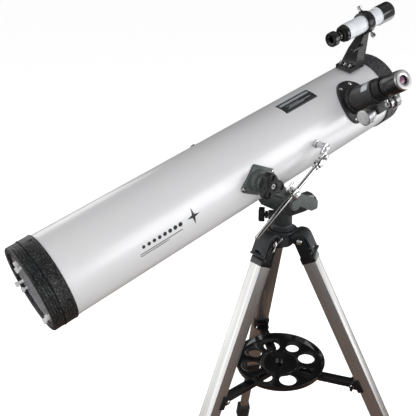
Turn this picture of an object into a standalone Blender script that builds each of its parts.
"""A reflector telescope on an altitude-azimuth fork and an aluminium tripod, in metres, +Z up."""

import math

import bmesh
import bpy
from mathutils import Matrix, Vector

# Frame: the azimuth axis stands at AXIS_X, AXIS_Y so that the whole object's box is centred on the origin.
AXIS_X, AXIS_Y = 0.1114, -0.0062
HINGE_Z = 0.640
GAP = 0.0003

# Tripod
LEG_AZIMUTHS = {"left": -177.8, "right": -57.8, "back": 62.2}
HINGE_R = 0.0302
SPLAY = 25.11
LEG_W, LEG_T, LEG_WALL = 0.022, 0.016, 0.002
PIVOT_HOLE_R = 0.0028
UPPER_TOP, UPPER_END = 0.0363, 0.460
LOWER_W, LOWER_T = 0.0174, 0.0114
LOWER_TOP, LOWER_END = 0.080, 0.685
FOOT_TOP = 0.655
COLLAR_TOP, COLLAR_END = 0.440, 0.482
SCREW_AT = 0.471
ARM_Z = -0.2525
ARM_OFFSET = 0.020
ARM_INNER_R = 0.020
ARM_H = 0.009
HUB_BOTTOM = -0.2462
TRAY_RIM_Z = -0.2335
TRAY_FLOOR, TRAY_UNDERSIDE = TRAY_RIM_Z - 0.0080, TRAY_RIM_Z - 0.0102
TRAY_R = 0.0774
TRAY_HOLES_AT = 0.0485
TRAY_HOLE_PHASE = -26.0
TRAY_HOLE_RADII = (0.0142, 0.0115)

# Fork mount
PIVOT_X, PIVOT_Z = -0.1009, 0.1321
FORK_IN, FORK_OUT = 0.0668, 0.0728
STUD_HOLE_R = 0.0036
ALTITUDE = 14.9
ROD_R = 0.003
ROD_Y = -0.0805
ROD_TOP = (-0.0006, 0.1499)
ROD_CLAMP = (-0.0567, 0.1097)
ROD_END = (-0.1238, 0.0616)
AZ_KNOB_Z = 0.0358

# Optical tube
TUBE_R, TUBE_WALL = 0.056, 0.0016
TUBE_REAR, TUBE_FRONT = -0.3000, 0.2750
RING_R = 0.0578
FRONT_RING = (0.2700, 0.2981)
REAR_RING = (-0.3030, -0.2860)
CELL_END = -0.3176
FOCUS_S, FOCUS_ANGLE = 0.2055, 27.0
PINION_DROP, PINION_OUT = -0.0240, 0.0950
ADJUSTER_AT, ADJUSTER_ANGLES = 0.0410, (72, 192, 312)
FINDER_ANGLE, FINDER_RHO = 80.0, 0.1173
FINDER_BASE_S, FINDER_RING_S = 0.250, 0.278

COLOURS = {
    "tube_paint": ((0.80, 0.80, 0.81), 0.28, 0.35),
    "black_plastic": ((0.022, 0.022, 0.024), 0.55, 0.0),
    "gloss_black": ((0.012, 0.012, 0.013), 0.15, 0.0),
    "grey_casting": ((0.14, 0.155, 0.155), 0.55, 0.2),
    "dark_casting": ((0.075, 0.08, 0.08), 0.5, 0.2),
    "chrome": ((0.80, 0.80, 0.80), 0.12, 1.0),
    "aluminium": ((0.62, 0.62, 0.62), 0.35, 1.0),
    "finder_white": ((0.78, 0.80, 0.83), 0.3, 0.0),
    "rubber": ((0.02, 0.02, 0.02), 0.85, 0.0),
    "mirror": ((0.92, 0.93, 0.94), 0.03, 1.0),
    "coated_glass": ((0.28, 0.16, 0.20), 0.05, 0.0),
}


# ---------------------------------------------------------------- scene helpers
def clear_scene():
    for obj in list(bpy.data.objects):
        bpy.data.objects.remove(obj, do_unlink=True)


def make_collection(name):
    collection = bpy.data.collections.new(name)
    bpy.context.scene.collection.children.link(collection)
    return collection


def make_materials():
    made = {}
    for name, (colour, roughness, metallic) in COLOURS.items():
        material = bpy.data.materials.new(name)
        material.use_nodes = True
        shader = material.node_tree.nodes["Principled BSDF"]
        shader.inputs["Base Color"].default_value = (*colour, 1.0)
        shader.inputs["Roughness"].default_value = roughness
        shader.inputs["Metallic"].default_value = metallic
        material.diffuse_color = (*colour, 1.0)
        made[name] = material
    return made


def add(name, data, frame):
    """A helper shape: it lives with the cutters until it is made a part."""
    obj = bpy.data.objects.new(name, data)
    TOOLS.objects.link(obj)
    obj.matrix_world = frame
    obj.hide_render = True
    obj.display_type = "WIRE"
    return obj


def part(obj, material, parent):
    """Turns a helper shape into a node of the telescope."""
    TOOLS.objects.unlink(obj)
    PARTS.objects.link(obj)
    obj.hide_render = False
    obj.display_type = "TEXTURED"
    obj.data.materials.append(MATERIALS[material])
    obj.parent = parent
    obj.matrix_parent_inverse = parent.matrix_world.inverted()
    for face in obj.data.polygons:
        face.use_smooth = True
    obj.data.set_sharp_from_angle(angle=math.radians(35))
    return obj


def empty(name, frame, parent=None):
    obj = bpy.data.objects.new(name, None)
    PARTS.objects.link(obj)
    obj.empty_display_size = 0.02
    obj.parent = parent
    if parent:
        obj.matrix_parent_inverse = parent.matrix_world.inverted()
    obj.matrix_world = frame
    bpy.context.view_layer.update()
    return obj


def bevelled(obj, width, segments=1):
    if width:
        modifier = obj.modifiers.new("Bevel", "BEVEL")
        modifier.width = width
        modifier.segments = segments
        modifier.limit_method = "ANGLE"
    return obj


def boolean(target, operation, tools):
    for tool in tools:
        modifier = target.modifiers.new(operation.title(), "BOOLEAN")
        modifier.operation = operation
        modifier.solver = "EXACT"
        modifier.object = tool
    return target


def cut(target, *tools):
    return boolean(target, "DIFFERENCE", tools)


def join(target, *tools):
    return boolean(target, "UNION", tools)


def trim(target, *tools):
    return boolean(target, "INTERSECT", tools)


# ---------------------------------------------------------------- shapes
def shift(x=0.0, y=0.0, z=0.0):
    return Matrix.Translation((x, y, z))


def turn(degrees, axis):
    return Matrix.Rotation(math.radians(degrees), 4, axis)


def box(name, low, high, frame, bevel=0.0):
    low, high = Vector(low), Vector(high)
    mesh = bpy.data.meshes.new(name)
    shape = bmesh.new()
    middle = Matrix.Translation((low + high) / 2)
    bmesh.ops.create_cube(shape, size=1.0, matrix=middle @ Matrix.Diagonal((*(high - low), 1.0)))
    shape.to_mesh(mesh)
    shape.free()
    return bevelled(add(name, mesh, frame), bevel)


def rod(name, radius, start, end, frame, sides=16, end_radius=None, bevel=0.0):
    """A cylinder or cone whose axis runs from start to end."""
    start, end = Vector(start), Vector(end)
    along = end - start
    mesh = bpy.data.meshes.new(name)
    shape = bmesh.new()
    bmesh.ops.create_cone(
        shape,
        cap_ends=True,
        segments=sides,
        radius1=radius,
        radius2=radius if end_radius is None else end_radius,
        depth=along.length,
        matrix=Matrix.Translation((start + end) / 2) @ along.to_track_quat("Z", "Y").to_matrix().to_4x4(),
    )
    shape.to_mesh(mesh)
    shape.free()
    return bevelled(add(name, mesh, frame), bevel)


def plate(name, loops, low, high, frame, bevel=0.0):
    """Flat outlines in the frame's XY plane, filled between them, from low to high along its Z."""
    curve = bpy.data.curves.new(name, "CURVE")
    curve.dimensions = "2D"
    curve.fill_mode = "BOTH"
    curve.extrude = (high - low) / 2
    for loop in loops:
        spline = curve.splines.new("POLY")
        spline.points.add(len(loop) - 1)
        for point, (x, y) in zip(spline.points, loop):
            point.co = (x, y, 0.0, 1.0)
        spline.use_cyclic_u = True
    source = bpy.data.objects.new(name, curve)
    TOOLS.objects.link(source)
    bpy.context.view_layer.update()
    graph = bpy.context.evaluated_depsgraph_get()
    mesh = bpy.data.meshes.new_from_object(source.evaluated_get(graph))
    bpy.data.objects.remove(source, do_unlink=True)
    shape = bmesh.new()
    shape.from_mesh(mesh)
    bmesh.ops.translate(shape, verts=shape.verts, vec=(0, 0, (low + high) / 2))
    bmesh.ops.remove_doubles(shape, verts=shape.verts, dist=0.00001)
    bmesh.ops.recalc_face_normals(shape, faces=shape.faces)
    shape.to_mesh(mesh)
    shape.free()
    mesh.materials.clear()
    return bevelled(add(name, mesh, frame), bevel)


def turned(name, profile, frame, steps=48, closed=False):
    """A profile of (radius, height) points turned round the frame's Z, top to bottom down its outer side."""
    mesh = bpy.data.meshes.new(name)
    edges = [(i, i + 1) for i in range(len(profile) - 1)]
    if closed:
        edges.append((len(profile) - 1, 0))
    mesh.from_pydata([(r, 0.0, z) for r, z in profile], edges, [])
    obj = add(name, mesh, frame)
    screw = obj.modifiers.new("Turn", "SCREW")
    screw.axis = "Z"
    screw.angle = math.tau
    screw.steps = screw.render_steps = steps
    screw.use_merge_vertices = True
    screw.merge_threshold = 0.00001
    screw.use_smooth_shade = True
    return obj


def arc(cx, cy, radius, start, end, count):
    step = (end - start) / (count - 1)
    angles = [math.radians(start + step * i) for i in range(count)]
    return [(cx + radius * math.cos(a), cy + radius * math.sin(a)) for a in angles]


def circle(cx, cy, radius, count=16):
    return arc(cx, cy, radius, 0, 360 * (1 - 1 / count), count)


def rectangle(width, depth):
    x, y = width / 2, depth / 2
    return [(x, y), (-x, y), (-x, -y), (x, -y)]


def oval(half_x, half_y, count=32):
    return [(half_x * x, half_y * y) for x, y in circle(0, 0, 1, count)]


# ---------------------------------------------------------------- frames
def head_frame():
    return shift(AXIS_X, AXIS_Y, HINGE_Z)


def radial_frame(azimuth):
    """X runs outwards, Y up and Z across a leg's radial plane."""
    return head_frame() @ turn(azimuth, "Z") @ turn(90, "X")


def leg_frame(azimuth):
    """Origin on the leg's hinge, Z up along the leg, X out of its outer face."""
    return head_frame() @ turn(azimuth, "Z") @ shift(HINGE_R) @ turn(-SPLAY, "Y")


def tube_frame():
    """Origin on the altitude pivot, Z forwards along the optical axis, Y across it."""
    return head_frame() @ shift(PIVOT_X, 0, PIVOT_Z) @ turn(90 - ALTITUDE, "Y")


def side_frame(angle, along):
    """Origin on the optical axis, Z straight out at an angle above the near side, X forwards."""
    out = Vector((-math.sin(math.radians(angle)), -math.cos(math.radians(angle)), 0))
    forward = Vector((0, 0, 1))
    across = out.cross(forward)
    axes = Matrix((forward, across, out)).transposed().to_4x4()
    return tube_frame() @ shift(z=along) @ axes


def pinion_frame():
    """Origin on the focuser's shaft, X along it."""
    return side_frame(FOCUS_ANGLE, FOCUS_S) @ shift(0, PINION_DROP, PINION_OUT)


def arm_pivot():
    """Where a spreader arm hinges on its leg clamp, as (distance down the leg, radius, height)."""
    splay = math.radians(SPLAY)
    down = (-ARM_Z - ARM_OFFSET * math.sin(splay)) / math.cos(splay)
    radius = HINGE_R + down * math.sin(splay) - ARM_OFFSET * math.cos(splay)
    return down, radius, ARM_Z


# ---------------------------------------------------------------- tripod
def tripod_head(parent):
    frame = head_frame()
    head = rod("tripod_head", 0.0165, (0, 0, -0.0135), (0, 0, 0.0145), frame, 18)
    join(head, rod("head_top", 0.0235, (0, 0, 0.0110), (0, 0, 0.01448), frame, 24))
    for name, azimuth in LEG_AZIMUTHS.items():
        radial = radial_frame(azimuth)
        tongue = arc(HINGE_R, 0, 0.0095, 90, -90, 7) + [(0.010, -0.0095), (0.010, 0.0095)]
        join(head, plate("tongue_" + name, [tongue], -0.0045, 0.0045, radial))
        join(head, hood(name, radial))
        cut(head, rod("head_hole", PIVOT_HOLE_R, (HINGE_R, 0, -0.03), (HINGE_R, 0, 0.03), radial, 12))
        cut(head, box("hood_slot", (0.009, -0.0075, -0.0215), (0.02, 0.0075, -0.0175), leg_frame(azimuth)))
    return part(head, "dark_casting", parent)


def hood(name, radial):
    """The arched cover over a leg's hinge, which runs down outside the leg to a thick lip."""
    outer, inner, wall = 0.0150, 0.0118, 0.0262
    top = arc(HINGE_R, 0, outer, 165, SPLAY, 8)
    under = arc(HINGE_R, 0, inner, SPLAY, 165, 7)
    down = Vector((math.sin(math.radians(SPLAY)), -math.cos(math.radians(SPLAY))))
    out = Vector((math.cos(math.radians(SPLAY)), math.sin(math.radians(SPLAY))))
    hinge = Vector((HINGE_R, 0))
    lip = [
        hinge + out * outer + down * (wall - 0.0035),
        hinge + out * (outer + 0.0022) + down * (wall - 0.0030),
        hinge + out * (outer + 0.0022) + down * wall,
        hinge + out * inner + down * wall,
    ]
    outline = top + [tuple(p) for p in lip] + under
    return plate("hood_" + name, [outline], -0.0145, 0.0145, radial)


def azimuth_post(parent):
    profile = [(0, 0.046), (0.0088, 0.046), (0.0088, 0.0238), (0.0147, 0.0236), (0.0150, 0.0190)]
    profile += [(0.0188, 0.0162), (0.0188, 0.0145 + GAP), (0, 0.0145 + GAP)]
    return part(turned("azimuth_post", profile, head_frame(), 24), "dark_casting", parent)


def leg_bracket(name, frame, parent):
    half, top, skirt = 0.0092, 0.0020, -0.0360
    outline = arc(0, 0, 0.0112, 35, 145, 9) + [(-half, top), (-half, skirt), (half, skirt), (half, top)]
    bracket = plate("leg_bracket_" + name, [outline], -0.0130, 0.0130, frame @ turn(90, "X"))
    join(bracket, box("plug", (-0.0057, -0.0087, -0.060), (0.0057, 0.0087, -0.030), frame))
    cut(bracket, box("fork_slot", (-0.02, -0.0050, -0.0125), (0.02, 0.0050, 0.02), frame))
    cut(bracket, rod("pivot_hole", PIVOT_HOLE_R, (0, -0.02, 0), (0, 0.02, 0), frame, 12))
    return part(bracket, "black_plastic", parent)


def leg_pivot_bolt(name, frame, parent):
    bolt = rod("leg_pivot_bolt_" + name, 0.0025, (0, -0.0170, 0), (0, 0.0180, 0), frame, 12)
    join(bolt, rod("bolt_head", 0.0048, (0, -0.0166, 0), (0, -0.0134, 0), frame, 12))
    join(bolt, rod("nut", 0.0050, (0, 0.0134, 0), (0, 0.0172, 0), frame, 12))
    wing = [(0.002, -0.0020), (0.0120, -0.0010), (0.0150, 0.0045), (0.0115, 0.0058), (0.002, 0.0022)]
    wings = wing + [(-x, y) for x, y in reversed(wing)]
    join(bolt, plate("wings", [wings], -0.0010, 0.0010, frame @ shift(0, 0.0162, 0) @ turn(64, "Y")))
    return part(bolt, "chrome", parent)


def leg_upper(name, frame, parent):
    outer = rounded_outline([(x, y, 0.0010) for x, y in rectangle(LEG_T, LEG_W)], 3)
    inner = rectangle(LEG_T - 2 * LEG_WALL, LEG_W - 2 * LEG_WALL)
    leg = plate("leg_upper_" + name, [outer, inner], -UPPER_END, -UPPER_TOP, frame)
    return part(leg, "aluminium", parent)


def leg_collar(name, frame, parent):
    low, high = (-0.0118, -0.0148, -COLLAR_END), (0.0118, 0.0148, -COLLAR_TOP)
    collar = box("leg_collar_" + name, low, high, frame, 0.0012)
    join(collar, rod("screw_boss", 0.0066, (0.010, 0, -SCREW_AT), (0.0180, 0, -SCREW_AT), frame, 16))
    wide = rectangle(LEG_T + 2 * GAP, LEG_W + 2 * GAP)
    narrow = rectangle(LOWER_T + 2 * GAP, LOWER_W + 2 * GAP)
    cut(collar, plate("upper_way", [wide], -UPPER_END - GAP, -0.40, frame))
    cut(collar, plate("lower_way", [narrow], -0.55, -0.42, frame))
    cut(collar, rod("screw_way", 0.0033, (0, 0, -SCREW_AT), (0.03, 0, -SCREW_AT), frame, 12))
    return part(collar, "black_plastic", parent)


def leg_thumbscrew(name, frame, parent):
    at = frame @ shift(z=-SCREW_AT)
    screw = rod("leg_thumbscrew_" + name, 0.0029, (LOWER_T / 2 + 2 * GAP, 0, 0), (0.024, 0, 0), at, 12)
    head = plate("wing_head", [oval(0.0125, 0.0062, 14)], 0.0195, 0.0255, at @ turn(90, "Y"))
    return part(join(screw, head), "black_plastic", parent)


def leg_lower(name, frame, parent):
    low = (-LOWER_T / 2, -LOWER_W / 2, -LOWER_END)
    high = (LOWER_T / 2, LOWER_W / 2, -LOWER_TOP)
    return part(box("leg_lower_" + name, low, high, frame, 0.0008), "aluminium", parent)


def foot(name, frame, parent):
    shoe = box("foot_" + name, (-0.0108, -0.0138, -0.740), (0.0108, 0.0138, -FOOT_TOP), frame, 0.0015)
    pocket = rectangle(LOWER_T + 2 * GAP, LOWER_W + 2 * GAP)
    cut(shoe, plate("foot_pocket", [pocket], -LOWER_END - GAP, -0.60, frame))
    ground = shift(*frame.translation.xy, 0)
    cut(shoe, box("below_ground", (-0.6, -0.6, -0.2), (0.6, 0.6, 0), ground))
    return part(shoe, "rubber", parent)


def spreader_clamp(name, frame, parent):
    """The channel fixed to a leg's inner face, with the two lugs that hold an arm's pin."""
    down, _, _ = arm_pivot()
    at = frame @ shift(z=-down)
    clamp = box("spreader_clamp_" + name, (-0.0107, -0.0137, -0.012), (-0.0035, 0.0137, 0.012), at)
    flat = at @ turn(90, "X")
    lug = arc(-ARM_OFFSET, 0, 0.0052, 270, 90, 9) + [(-0.0100, 0.0085), (-0.0100, -0.0085)]
    for side in (-1, 1):
        low, high = sorted((side * 0.0082, side * 0.0114))
        join(clamp, plate("lug", [lug], low, high, flat))
    join(clamp, rod("arm_pin", 0.0020, (-ARM_OFFSET, -0.0110, 0), (-ARM_OFFSET, 0.0110, 0), at, 12))
    cut(clamp, plate("leg_way", [rectangle(LEG_T + 2 * GAP, LEG_W + 2 * GAP)], -0.03, 0.03, at))
    return part(clamp, "black_plastic", parent)


def spreader_arm(name, azimuth, parent):
    _, radius, height = arm_pivot()
    frame = head_frame() @ turn(azimuth, "Z") @ shift(z=height)
    outline = arc(ARM_INNER_R + 0.005, 0, 0.005, 90, 270, 7) + [(0.040, -0.005), (0.050, -0.0077)]
    outline += [(radius, -0.0077), (radius, 0.0077), (0.050, 0.0077), (0.040, 0.005)]
    arm = plate("spreader_arm_" + name, [outline], -ARM_H / 2, ARM_H / 2, frame)
    join(arm, rod("arm_end", ARM_H / 2 - 0.00002, (radius, -0.0077, 0), (radius, 0.0077, 0), frame, 16))
    cut(arm, box("channel", (0.052, -0.0055, -0.01), (radius - 0.010, 0.0055, 0.002), frame))
    cut(arm, rod("pin_hole", 0.0024, (radius, -0.02, 0), (radius, 0.02, 0), frame, 12))
    return part(arm, "black_plastic", parent)


def tray_hub(parent):
    top, boss_end = TRAY_UNDERSIDE - GAP, -0.2535
    profile = [(0.0034, top), (0.034, top), (0.034, HUB_BOTTOM), (0.0100, HUB_BOTTOM)]
    profile += [(0.0095, boss_end), (0.0034, boss_end)]
    return part(turned("tray_hub", profile, head_frame(), 24, closed=True), "black_plastic", parent)


def tray(parent):
    top, floor, under, ring = TRAY_RIM_Z, TRAY_FLOOR, TRAY_UNDERSIDE, TRAY_FLOOR + 0.0014
    profile = [(TRAY_R, top), (TRAY_R - 0.0026, under), (0.0034, under), (0.0034, floor)]
    profile += [(0.0308, floor), (0.0312, ring), (0.0328, ring), (0.0332, floor)]
    profile += [(TRAY_R - 0.0040, floor), (TRAY_R - 0.0018, top)]
    dish = turned("tray", profile, head_frame(), 36, closed=True)
    for index in range(8):
        angle = math.radians(TRAY_HOLE_PHASE + 45 * index)
        x, y = TRAY_HOLES_AT * math.cos(angle), TRAY_HOLES_AT * math.sin(angle)
        low, high = (x, y, under - 0.01), (x, y, floor + 0.004)
        cut(dish, rod("tray_hole", TRAY_HOLE_RADII[index % 2], low, high, head_frame(), 12))
    return part(dish, "gloss_black", parent)


def tray_bolt(parent):
    seat, tip = TRAY_FLOOR + GAP, -0.2560
    profile = [(0, seat + 0.0062), (0.0042, seat + 0.0052), (0.0068, seat + 0.0025), (0.0072, seat)]
    profile += [(0.0030, seat), (0.0030, tip), (0, tip)]
    return part(turned("tray_bolt", profile, head_frame(), 20), "gloss_black", parent)


# ---------------------------------------------------------------- fork mount
def fork(parent):
    frame = head_frame()
    across = frame @ turn(90, "Z") @ turn(90, "X")
    dip = arc(0, PIVOT_Z, 0.0612, 233, 307, 13)
    near_side = [(0.052, 0.0860), (0.074, 0.0850), (0.0815, 0.0800), (0.0815, 0.0760), (0.070, 0.0700)]
    near_side += [(0.032, 0.0480)]
    hull = dip + near_side + [(-x, y) for x, y in reversed(near_side)]
    bridge = plate("fork", [hull], -0.0165, 0.0150, across)
    side = frame @ turn(90, "X")
    arm = arc(PIVOT_X, PIVOT_Z, 0.0120, 61, 241, 13)
    arm += [(-0.0686, 0.1003), (-0.012, 0.0690), (0.008, 0.0700), (0.008, 0.0830), (-0.0557, 0.1141)]
    for low, high in ((-FORK_OUT, -FORK_IN), (FORK_IN, FORK_OUT)):
        cheek = plate("arm", [arm], low, high, side)
        pivot = frame @ shift(PIVOT_X, 0, PIVOT_Z)
        cut(cheek, rod("pivot_way", STUD_HOLE_R, (0, -0.1, 0), (0, 0.1, 0), pivot, 16))
        join(bridge, cheek)
    join(bridge, rod("sleeve", 0.0147, (0, 0, 0.0240), (0, 0, 0.060), frame, 28))
    diagonal = Vector((-1, 1, 0)).normalized()
    at = Vector((0, 0, AZ_KNOB_Z))
    join(bridge, rod("knob_boss", 0.0075, at + diagonal * 0.011, at + diagonal * 0.0225, frame, 16))
    cut(bridge, rod("post_way", 0.0092, (0, 0, 0.0), (0, 0, 0.0465), frame, 24))
    cut(bridge, rod("knob_way", 0.0033, at + diagonal * 0.005, at + diagonal * 0.03, frame, 12))
    return part(bridge, "grey_casting", parent)


def lobed(radius, depth, lobes, count):
    points = []
    for index in range(count):
        angle = math.tau * index / count
        reach = radius - depth * (0.5 - 0.5 * math.cos(lobes * angle))
        points.append((reach * math.cos(angle), reach * math.sin(angle)))
    return points


def azimuth_knob(parent):
    diagonal = Vector((-1, 1, 0)).normalized()
    at = Vector((0, 0, AZ_KNOB_Z))
    frame = head_frame()
    knob = rod("azimuth_knob", 0.0028, at + diagonal * 0.0092, at + diagonal * 0.034, frame, 12)
    face = frame @ shift(z=AZ_KNOB_Z) @ turn(135, "Z") @ turn(90, "Y")
    join(knob, plate("knob_head", [lobed(0.0120, 0.0026, 5, 25)], 0.0285, 0.0375, face))
    join(knob, rod("knob_neck", 0.0060, at + diagonal * 0.0232, at + diagonal * 0.0275, frame, 16))
    return part(knob, "black_plastic", parent)


def altitude_knob(name, side, parent):
    frame = tube_frame()
    knob = rod("altitude_knob_" + name, 0.0030, (0, side * 0.0600, 0), (0, side * 0.0860, 0), frame, 12)
    join(knob, rod("hub", 0.0115, (0, side * 0.0731, 0), (0, side * 0.0785, 0), frame, 16))
    face = frame @ turn(-90 * side, "X") @ turn(60, "Z")
    join(knob, plate("lobes", [lobed(0.0195, 0.0065, 3, 27)], 0.0770, 0.0895, face))
    return part(knob, "black_plastic", parent)


def trunnion_plate(name, side, parent):
    """The diamond casting screwed to the tube's flank, with the boss that the fork arm clamps on."""
    frame = tube_frame()
    face = frame @ turn(-90 * side, "X")
    corners = [(0.0, 0.0335, 0.005), (-0.0235, 0.002, 0.005), (0.0, -0.0335, 0.005), (0.0235, -0.002, 0.005)]
    flange = plate("trunnion_plate_" + name, [rounded_outline(corners)], 0.040, 0.065, face)
    trim(flange, rod("flange_skin", TUBE_R + 0.0030, (0, 0, -0.05), (0, 0, 0.05), frame, 48))
    join(flange, rod("boss", 0.0155, (0, side * 0.050, 0), (0, side * (FORK_IN - GAP), 0), frame, 24))
    cut(flange, rod("tube_way", TUBE_R + GAP, (0, 0, -0.06), (0, 0, 0.06), frame, 48))
    cut(flange, rod("stud_way", 0.0034, (0, side * 0.0585, 0), (0, side * 0.08, 0), frame, 12))
    return part(flange, "dark_casting", parent)


def rounded_outline(corners, count=4):
    """A polygon of (x, y, radius) corners in turn, each corner an arc of that radius."""
    outline = []
    for index, (x, y, radius) in enumerate(corners):
        here = Vector((x, y))
        before = (Vector(corners[index - 1][:2]) - here).normalized()
        after = (Vector(corners[(index + 1) % len(corners)][:2]) - here).normalized()
        half = before.angle(after) / 2
        centre = here + (before + after).normalized() * (radius / math.sin(half))
        first = here + before * (radius / math.tan(half)) - centre
        last = here + after * (radius / math.tan(half)) - centre
        for step in range(count):
            bend = first.lerp(last, step / (count - 1)).normalized() * radius
            outline.append(tuple(centre + bend))
    return outline


def rod_bracket(parent):
    """The post on the tube, with the link at its end that the slow-motion rod's pin stands on."""
    frame = head_frame()
    top_x, top_z = ROD_TOP
    foot_at = frame.inverted() @ tube_frame() @ Vector((0, 0, 0.1140))
    post_frame = frame @ shift(foot_at.x, 0, foot_at.z)
    bracket = rod("rod_bracket", 0.0046, (0, -0.0500, 0), (0, -0.0768, 0), post_frame, 20)
    join(bracket, rod("post_foot", 0.0062, (0, -0.0500, 0), (0, -0.0592, 0), post_frame, 20))
    cut(bracket, rod("tube_way", TUBE_R + GAP, (0, 0, 0.05), (0, 0, 0.16), tube_frame(), 48))
    angle = math.degrees(math.atan2(foot_at.z - top_z, foot_at.x - top_x))
    outline = arc(top_x, top_z, 0.0048, angle + 90, angle + 270, 8)
    outline += arc(foot_at.x, foot_at.z, 0.0055, angle - 90, angle + 90, 8)
    join(bracket, plate("link", [outline], 0.0728, 0.0766, frame @ turn(90, "X")))
    pin_frame = frame @ shift(top_x, 0, top_z)
    join(bracket, rod("rod_pin", 0.0024, (0, -0.0740, 0), (0, ROD_Y - 0.0070, 0), pin_frame, 12))
    join(bracket, rod("pin_head", 0.0042, (0, ROD_Y - 0.0032, 0), (0, ROD_Y - 0.0065, 0), pin_frame, 12))
    return part(bracket, "chrome", parent)


def rod_direction():
    return (Vector((ROD_END[0], 0, ROD_END[1])) - Vector((ROD_TOP[0], 0, ROD_TOP[1]))).normalized()


def altitude_rod(parent):
    frame = head_frame() @ shift(y=ROD_Y)
    top = Vector((ROD_TOP[0], 0, ROD_TOP[1]))
    end = Vector((ROD_END[0], 0, ROD_END[1]))
    down = rod_direction()
    shaft = rod("altitude_rod", ROD_R, top + down * 0.004, end, frame, 14)
    half = Vector((0, 0.0027, 0))
    join(shaft, rod("eye", 0.0060, top - half, top + half, frame, 18))
    join(shaft, rod("knurled_nut", 0.0062, top + down * 0.0115, top + down * 0.0160, frame, 16))
    cut(shaft, rod("eye_hole", 0.0028, top - half * 3, top + half * 3, frame, 12))
    return part(shaft, "chrome", parent)


def rod_clamp(parent):
    frame = head_frame() @ shift(y=ROD_Y)
    at = Vector((ROD_CLAMP[0], 0, ROD_CLAMP[1]))
    down = rod_direction()
    lie = math.degrees(math.atan2(down.z, down.x))
    block_frame = frame @ shift(at.x, 0, at.z) @ turn(-lie, "Y")
    block = box("rod_clamp", (-0.0062, -0.0062, -0.0062), (0.0062, 0.0062, 0.0062), block_frame, 0.001)
    cut(block, rod("rod_way", ROD_R + GAP, (-0.02, 0, 0), (0.02, 0, 0), block_frame, 16))
    cut(block, rod("screw_way", 0.0023, (0, 0, 0), (0, 0, -0.02), block_frame, 12))
    return part(block, "chrome", parent), block_frame


def rod_thumbscrew(block_frame, parent):
    screw = rod("rod_thumbscrew", 0.0020, (0, 0, -ROD_R - 0.0006), (0, 0, -0.0130), block_frame, 12)
    wing = [(0.001, -0.0025), (0.0090, -0.0040), (0.0105, 0.0), (0.0090, 0.0030), (0.001, 0.0025)]
    wings = wing + [(-x, y) for x, y in reversed(wing)]
    join(screw, plate("wings", [wings], -0.0012, 0.0012, block_frame @ shift(z=-0.0130) @ turn(90, "X")))
    return part(screw, "chrome", parent)


# ---------------------------------------------------------------- optical tube
def optical_tube(parent):
    inner = TUBE_R - TUBE_WALL
    profile = [(TUBE_R, TUBE_FRONT), (TUBE_R, TUBE_REAR), (inner, TUBE_REAR), (inner, TUBE_FRONT)]
    tube = turned("optical_tube", profile, tube_frame(), 48, closed=True)
    opening = side_frame(FOCUS_ANGLE, FOCUS_S)
    cut(tube, rod("focuser_hole", 0.0180, (0, 0, 0.03), (0, 0, 0.08), opening, 24))
    return part(tube, "tube_paint", parent)


def front_ring(parent):
    low, high = FRONT_RING
    near = TUBE_R + GAP
    profile = [(RING_R - 0.0010, high), (RING_R, high - 0.0020), (RING_R, low), (near, low)]
    profile += [(near, TUBE_FRONT + GAP), (0.0535, TUBE_FRONT + GAP), (0.0535, high)]
    return part(turned("front_ring", profile, tube_frame(), 48, closed=True), "black_plastic", parent)


def rear_ring(parent):
    low, high = REAR_RING
    near = TUBE_R + GAP
    profile = [(RING_R, high), (RING_R, low), (near, low), (near, high)]
    return part(turned("rear_ring", profile, tube_frame(), 48, closed=True), "black_plastic", parent)


def mirror_cell(parent):
    """The cup that closes the tube's rear, with its three pairs of adjusting screws made in one with it."""
    top, rim, end = -0.2880, REAR_RING[0] - GAP, CELL_END
    spigot = TUBE_R - TUBE_WALL - GAP
    profile = [(0, -0.3085), (0.0500, -0.3085), (0.0500, top), (spigot, top), (spigot, TUBE_REAR - GAP)]
    profile += [(TUBE_R - 0.0004, TUBE_REAR - GAP), (TUBE_R - 0.0004, rim), (RING_R - 0.0008, rim)]
    profile += [(RING_R - 0.0008, end + 0.0010), (RING_R - 0.0018, end), (0.0500, end)]
    profile += [(0.0490, end + 0.0050), (0, end + 0.0050)]
    cell = turned("mirror_cell", profile, tube_frame(), 48)
    for angle in ADJUSTER_ANGLES:
        for turned_on, radius, reach in ((0, 0.0036, -0.0060), (30, 0.0030, -0.0010)):
            at = side_frame(angle + turned_on, 0) @ shift(z=ADJUSTER_AT)
            join(cell, rod("adjuster", radius, (end + 0.0070, 0, 0), (end + reach, 0, 0), at, 10))
    return part(cell, "black_plastic", parent)


def primary_mirror(parent):
    face, back = -0.2965, -0.3085 + GAP
    profile = [(0, face - 0.0009), (0.0200, face - 0.0006), (0.0380, face), (0.0380, back), (0, back)]
    return part(turned("primary_mirror", profile, tube_frame(), 32), "mirror", parent)


def secondary_spider(parent):
    """Three thin vanes and the slanted block that carries the secondary mirror."""
    frame = tube_frame()
    hub_low, hub_high = FOCUS_S + 0.016, FOCUS_S + 0.034
    spider = rod("secondary_spider", 0.0090, (0, 0, FOCUS_S - 0.012), (0, 0, hub_high), frame, 20)
    for index in range(3):
        vane_frame = frame @ turn(90 * index - FOCUS_ANGLE, "Z")
        reach = TUBE_R - TUBE_WALL - 2 * GAP
        join(spider, box("vane", (0.004, -0.0006, hub_low), (reach, 0.0006, hub_high - 0.002), vane_frame))
    tilt = side_frame(FOCUS_ANGLE, FOCUS_S) @ turn(-45, "Y")
    cut(spider, box("slant", (-0.06, -0.03, -GAP), (0.06, 0.03, 0.06), tilt))
    return part(spider, "black_plastic", parent)


def secondary_mirror(parent):
    tilt = side_frame(FOCUS_ANGLE, FOCUS_S) @ turn(-45, "Y")
    mirror = plate("secondary_mirror", [oval(0.0135, 0.0098, 28)], 0.0, 0.0030, tilt)
    return part(mirror, "mirror", parent)


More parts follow.
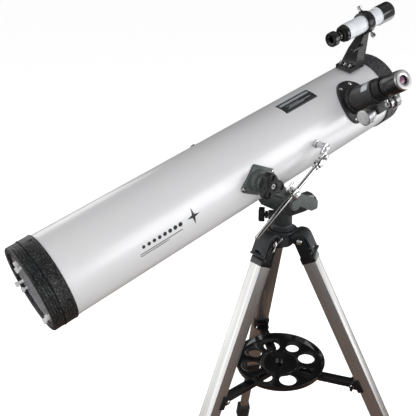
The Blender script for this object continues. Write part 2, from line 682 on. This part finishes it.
# ---------------------------------------------------------------- focuser
def focuser_body(parent):
    frame = side_frame(FOCUS_ANGLE, FOCUS_S)
    skin = tube_frame()
    flange = plate("focuser_body", [oval(0.0270, 0.0330, 28)], 0.030, 0.075, frame)
    trim(flange, rod("flange_skin", TUBE_R + 0.0038, (0, 0, 0.15), (0, 0, 0.26), skin, 48))
    join(flange, rod("collar", 0.0215, (0, 0, 0.050), (0, 0, 0.0660), frame, 24, 0.0205))
    join(flange, rod("barrel", 0.0178, (0, 0, 0.055), (0, 0, 0.1040), frame, 24))
    housing = box("rack_housing", (-0.0120, -0.0300, 0.0860), (0.0120, -0.0050, 0.1035), frame, 0.0020)
    join(flange, housing)
    cut(flange, rod("tube_way", TUBE_R + GAP, (0, 0, 0.14), (0, 0, 0.27), skin, 48))
    cut(flange, rod("bore", 0.0149, (0, 0, 0.03), (0, 0, 0.12), frame, 24))
    cut(flange, rod("shaft_way", 0.0024, (-0.05, 0, 0), (0.05, 0, 0), pinion_frame(), 12))
    return part(flange, "black_plastic", parent)


def drawtube(parent):
    frame = side_frame(FOCUS_ANGLE, FOCUS_S)
    profile = [(0.0128, 0.1190), (0.0158, 0.1190), (0.0166, 0.1182), (0.0166, 0.1045), (0.0146, 0.1043)]
    profile += [(0.0146, 0.0480), (0.0128, 0.0480)]
    return part(turned("drawtube", profile, frame, 24, closed=True), "black_plastic", parent)


def pinion_shaft(parent):
    shaft = rod("pinion_shaft", 0.0020, (-0.0240, 0, 0), (0.0240, 0, 0), pinion_frame(), 12)
    return part(shaft, "chrome", parent)


def focus_knob(name, side, parent):
    flip = pinion_frame() @ turn(90 * side, "Y")
    knob = rod("focus_knob_" + name, 0.0118, (0, 0, 0.0250), (0, 0, 0.0345), flip, 20)
    join(knob, rod("knob_hub", 0.0085, (0, 0, 0.0165), (0, 0, 0.0255), flip, 14))
    cut(knob, rod("shaft_hole", 0.0023, (0, 0, 0.0100), (0, 0, 0.0245), flip, 12))
    return part(knob, "aluminium", parent)


def eyepiece_barrel(parent):
    frame = side_frame(FOCUS_ANGLE, FOCUS_S)
    profile = [(0.0064, 0.1580), (0.0128, 0.1580), (0.0140, 0.1568), (0.0147, 0.1500), (0.0147, 0.1225)]
    profile += [(0.0138, 0.1194), (0.0124, 0.1194), (0.0124, 0.0900), (0.0110, 0.0900)]
    profile += [(0.0110, 0.1450), (0.0064, 0.1475)]
    return part(turned("eyepiece_barrel", profile, frame, 24, closed=True), "black_plastic", parent)


def eyepiece_lens(parent):
    frame = side_frame(FOCUS_ANGLE, FOCUS_S)
    profile = [(0, 0.1562), (0.0030, 0.1558), (0.0061, 0.1545), (0.0061, 0.1495), (0, 0.1485)]
    return part(turned("eyepiece_lens", profile, frame, 18), "coated_glass", parent)


# ---------------------------------------------------------------- finder
def finder_frame():
    """Origin above the tube on the finder's axis, X forwards."""
    return side_frame(FINDER_ANGLE, 0) @ shift(z=FINDER_RHO) @ turn(90, "Y")


def finder_bracket(parent):
    base = side_frame(FINDER_ANGLE, FINDER_BASE_S)
    skin = tube_frame()
    corners = [(x, y, 0.005) for x, y in rectangle(0.036, 0.043)]
    saddle = plate("finder_bracket", [rounded_outline(corners)], 0.040, 0.070, base)
    trim(saddle, rod("saddle_skin", TUBE_R + 0.0034, (0, 0, 0.2), (0, 0, 0.3), skin, 48))
    upright = base @ turn(90, "X")
    lean = FINDER_RING_S - FINDER_BASE_S
    neck = FINDER_RHO - 0.0145
    stalk = [(0.018, 0.054), (lean + 0.0075, neck), (lean - 0.0075, neck), (-0.0145, 0.0635), (-0.0145, 0.054)]
    join(saddle, plate("stalk", [stalk], -0.0050, 0.0050, upright))
    along = finder_frame()
    ring_low, ring_high = (0, 0, FINDER_RING_S - 0.0065), (0, 0, FINDER_RING_S + 0.0065)
    join(saddle, rod("ring", 0.0163, ring_low, ring_high, along, 24))
    spring_frame = base @ shift(0, -0.0055, 0.0735)
    join(saddle, rod("spring_housing", 0.0034, (-0.013, 0, 0), (0.009, 0, 0), spring_frame, 12))
    join(saddle, box("block", (-0.0150, -0.0120, 0.054), (0.0130, 0.0120, 0.0640), base, 0.0015))
    cut(saddle, rod("ring_way", 0.0138, (0, 0, 0.2), (0, 0, 0.36), along, 24))
    cut(saddle, rod("tube_way", TUBE_R + GAP, (0, 0, 0.19), (0, 0, 0.31), skin, 48))
    return part(saddle, "black_plastic", parent)


def finder_tube(parent):
    profile = [(0.0112, 0.3303), (0.0142, 0.3303), (0.0142, 0.3040), (0.0126, 0.3030), (0.0126, 0.2330)]
    profile += [(0.0118, 0.2325), (0.0118, 0.2285), (0.0088, 0.2280), (0.0088, 0.2240), (0.0072, 0.2240)]
    profile += [(0.0072, 0.2300), (0.0112, 0.2400)]
    return part(turned("finder_tube", profile, finder_frame(), 24, closed=True), "finder_white", parent)


def finder_objective(parent):
    profile = [(0, 0.3255), (0.0050, 0.3250), (0.0109, 0.3235), (0.0109, 0.3200), (0, 0.3190)]
    return part(turned("finder_objective", profile, finder_frame(), 18), "coated_glass", parent)


def finder_eyepiece(parent):
    profile = [(0.0045, 0.2350), (0.0069, 0.2350), (0.0069, 0.2180), (0.0088, 0.2140), (0.0106, 0.2120)]
    profile += [(0.0106, 0.2045), (0.0098, 0.2033), (0.0045, 0.2050)]
    return part(turned("finder_eyepiece", profile, finder_frame(), 20, closed=True), "gloss_black", parent)


# ---------------------------------------------------------------- assembly
def build_tripod(root):
    tripod_head(root)
    azimuth_post(root)
    for name, azimuth in LEG_AZIMUTHS.items():
        frame = leg_frame(azimuth)
        hinge = empty("leg_hinge_" + name, frame, root)
        leg_pivot_bolt(name, frame, root)
        for piece in (leg_bracket, leg_upper, leg_collar, spreader_clamp):
            piece(name, frame, hinge)
        screw_axis = empty("thumbscrew_axis_" + name, frame @ shift(z=-SCREW_AT), hinge)
        leg_thumbscrew(name, frame, screw_axis)
        slide = empty("extension_slide_" + name, frame, hinge)
        leg_lower(name, frame, slide)
        foot(name, frame, slide)
        _, radius, height = arm_pivot()
        pivot = head_frame() @ turn(azimuth, "Z") @ shift(radius, 0, height)
        spreader_arm(name, azimuth, empty("arm_hinge_" + name, pivot, hinge))
    lift = empty("tray_lift", head_frame() @ shift(z=TRAY_RIM_Z), root)
    for piece in (tray_hub, tray, tray_bolt):
        piece(lift)


def build_mount(root):
    azimuth = empty("azimuth_axis", head_frame(), root)
    fork(azimuth)
    azimuth_knob(empty("azimuth_knob_axis", head_frame() @ shift(z=AZ_KNOB_Z) @ turn(135, "Z"), azimuth))
    return azimuth


def build_tube(azimuth):
    altitude = empty("altitude_axis", tube_frame(), azimuth)
    for piece in (optical_tube, front_ring, rear_ring, mirror_cell, primary_mirror):
        piece(altitude)
    secondary_spider(altitude)
    secondary_mirror(altitude)
    for name, side in (("near", -1), ("far", 1)):
        trunnion_plate(name, side, altitude)
        altitude_knob(name, side, empty("altitude_knob_axis_" + name, tube_frame(), altitude))
    rod_bracket(altitude)
    top = head_frame() @ shift(ROD_TOP[0], ROD_Y, ROD_TOP[1])
    swing = empty("rod_hinge", top, altitude)
    altitude_rod(swing)
    slide = empty("rod_slide", top, swing)
    _, block_frame = rod_clamp(slide)
    rod_thumbscrew(block_frame, slide)
    build_focuser(altitude)
    build_finder(altitude)


def build_focuser(altitude):
    frame = side_frame(FOCUS_ANGLE, FOCUS_S)
    focuser_body(altitude)
    rack = empty("focus_slide", frame, altitude)
    drawtube(rack)
    holder = empty("eyepiece_slide", frame, rack)
    eyepiece_barrel(holder)
    eyepiece_lens(holder)
    axis = empty("pinion_axis", pinion_frame(), altitude)
    pinion_shaft(axis)
    focus_knob("near", -1, axis)
    focus_knob("far", 1, axis)


def build_finder(altitude):
    finder_bracket(altitude)
    finder_tube(altitude)
    finder_objective(altitude)
    finder_eyepiece(empty("finder_focus_slide", finder_frame(), altitude))


clear_scene()
PARTS = make_collection("telescope_on_tripod")
TOOLS = make_collection("cutters")
MATERIALS = make_materials()
telescope = empty("telescope", Matrix.Identity(4))
build_tripod(telescope)
build_tube(build_mount(telescope))
